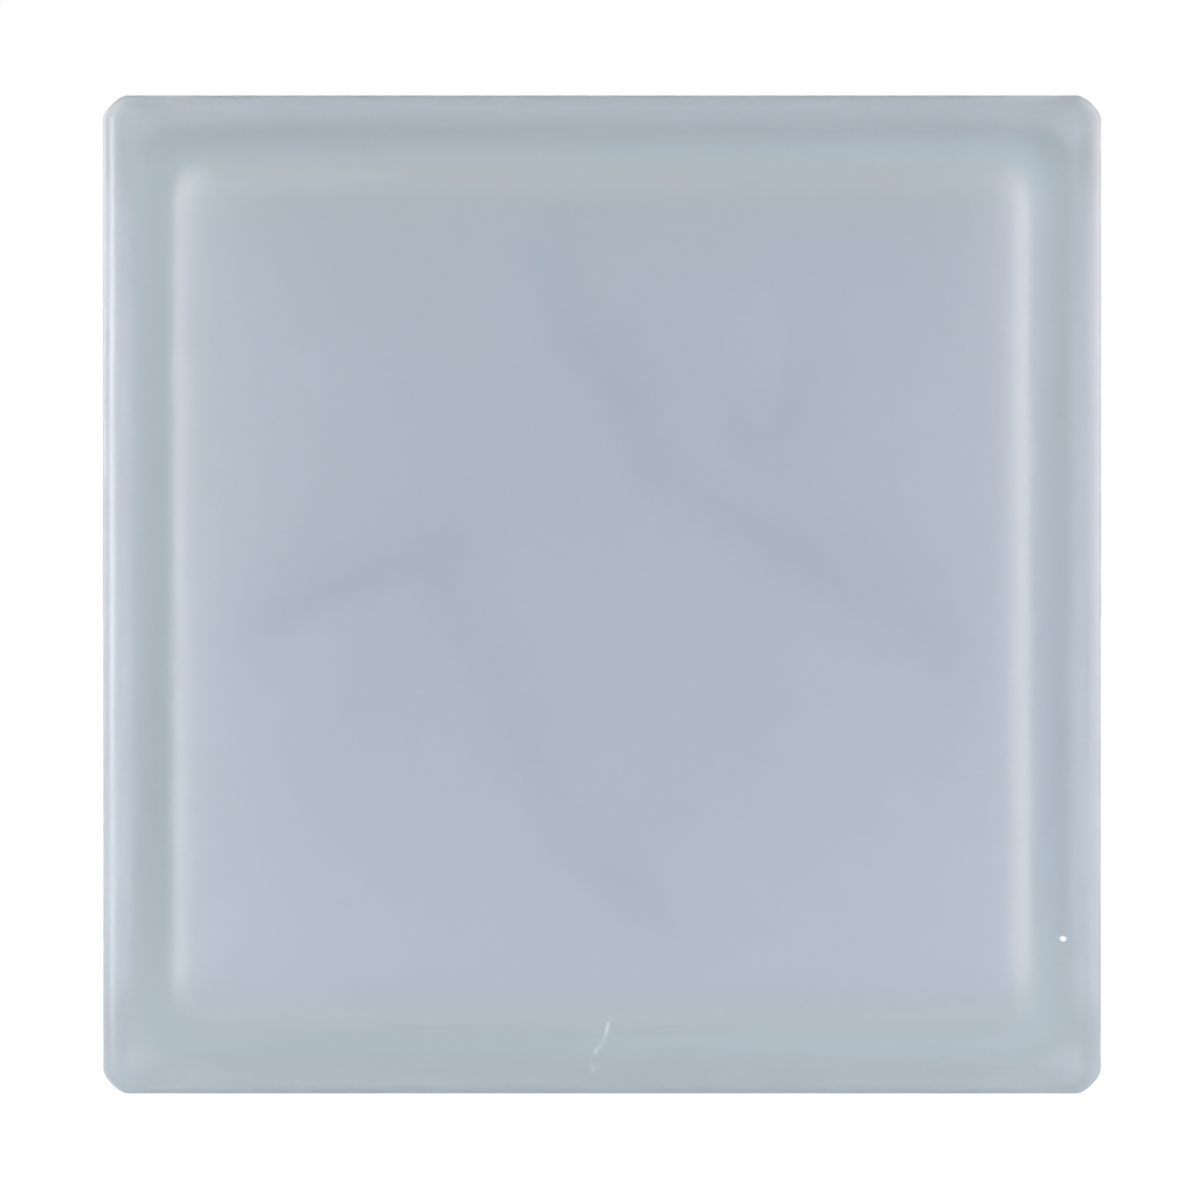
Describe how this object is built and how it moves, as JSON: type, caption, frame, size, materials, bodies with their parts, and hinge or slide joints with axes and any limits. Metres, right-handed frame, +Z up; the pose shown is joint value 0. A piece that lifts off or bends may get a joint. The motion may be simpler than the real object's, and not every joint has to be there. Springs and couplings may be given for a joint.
{
  "type": "glass block",
  "caption": "Square hollow building block of satin pressed glass, with a wave relief inside its panes, raised rims round both faces and a mortar groove round its edge.",
  "frame": {"origin": "middle of the bottom edge, on the level that the two bottom rims stand on", "axes": "+Z up, -Y out of the front face, +X to the right as seen from the front"},
  "size_m": [0.19, 0.08, 0.19],
  "materials": {
    "satin_glass": "satin"
  },
  "bodies": {
    "root": {"front_half": "satin_glass", "back_half": "satin_glass"}
  },
  "joints": []
}
